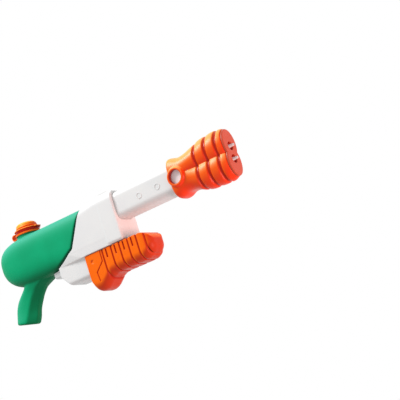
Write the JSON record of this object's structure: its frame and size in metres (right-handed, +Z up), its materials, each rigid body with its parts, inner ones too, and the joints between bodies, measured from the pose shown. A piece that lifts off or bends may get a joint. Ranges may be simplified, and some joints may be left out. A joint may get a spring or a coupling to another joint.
{
  "type": "water squirter",
  "caption": "Pump-action water squirter: refillable tank with pistol grip and flip cap, split housing, barrel with lobed jet nozzle, and a sliding pump grip that drives an inner piston.",
  "frame": {"origin": "bottom centre of the overall bounding box, on the middle plane of the squirter", "axes": "+X forward along the barrel, +Y to the left side, +Z up"},
  "size_m": [0.6026, 0.069, 0.2052],
  "materials": {
    "green_plastic": "satin blow-moulded polyethylene",
    "white_plastic": "satin injection-moulded plastic",
    "orange_plastic": "semi-gloss injection-moulded plastic",
    "clear_plastic": "milky translucent plastic",
    "grey_plastic": "satin plastic",
    "rubber": "moulded seal rubber",
    "steel": "plain steel"
  },
  "bodies": {
    "body": {"body_shell_right": "white_plastic", "body_shell_left": "white_plastic", "tank": "green_plastic", "tank_strainer": "clear_plastic", "cap_strap": "orange_plastic", "barrel": "white_plastic", "barrel_plug": "white_plastic", "nozzle_shroud": "orange_plastic", "nozzle_face": "orange_plastic", "jet_manifold": "grey_plastic", "jet_tip_upper": "white_plastic", "jet_tip_lower": "white_plastic", "outlet_hose": "clear_plastic", "pump_cylinder": "clear_plastic", "cylinder_gland": "grey_plastic", "rod_seal": "rubber", "valve_block": "grey_plastic", "intake_hose": "clear_plastic", "body_screw_upper": "steel", "body_screw_middle": "steel", "body_screw_front": "steel", "body_screw_rear": "steel", "body_screw_bridge": "steel", "nozzle_screw_upper": "steel", "nozzle_screw_lower": "steel"},
    "pump": {"pump_grip_right": "orange_plastic", "pump_grip_left": "orange_plastic", "pump_rod": "white_plastic", "rod_pin": "steel", "piston": "grey_plastic", "piston_ring": "rubber", "piston_screw": "steel", "pump_screw_lobe": "steel", "pump_screw_hollow": "steel", "pump_screw_nose": "steel"},
    "cap": {"filler_cap": "orange_plastic", "cap_gasket": "rubber"},
    "inlet_valve": {"inlet_ball": "steel"},
    "outlet_valve": {"outlet_ball": "steel"}
  },
  "joints": [
    {"name": "pump_slide", "type": "slide", "parent": "body", "child": "pump", "axis": [1, 0, 0], "range_m": [-0.05, 0]},
    {"name": "cap_flip", "type": "hinge", "parent": "body", "child": "cap", "pos_m": [-0.25264, 0, 0.18471], "axis": [0, -1, 0], "range_deg": [0, 115], "deforming": ["cap_strap"]},
    {"name": "inlet_lift", "type": "slide", "parent": "body", "child": "inlet_valve", "axis": [0, 0, 1], "range_m": [0, 0.002]},
    {"name": "outlet_lift", "type": "slide", "parent": "body", "child": "outlet_valve", "axis": [0, 0, 1], "range_m": [0, 0.002]}
  ]
}
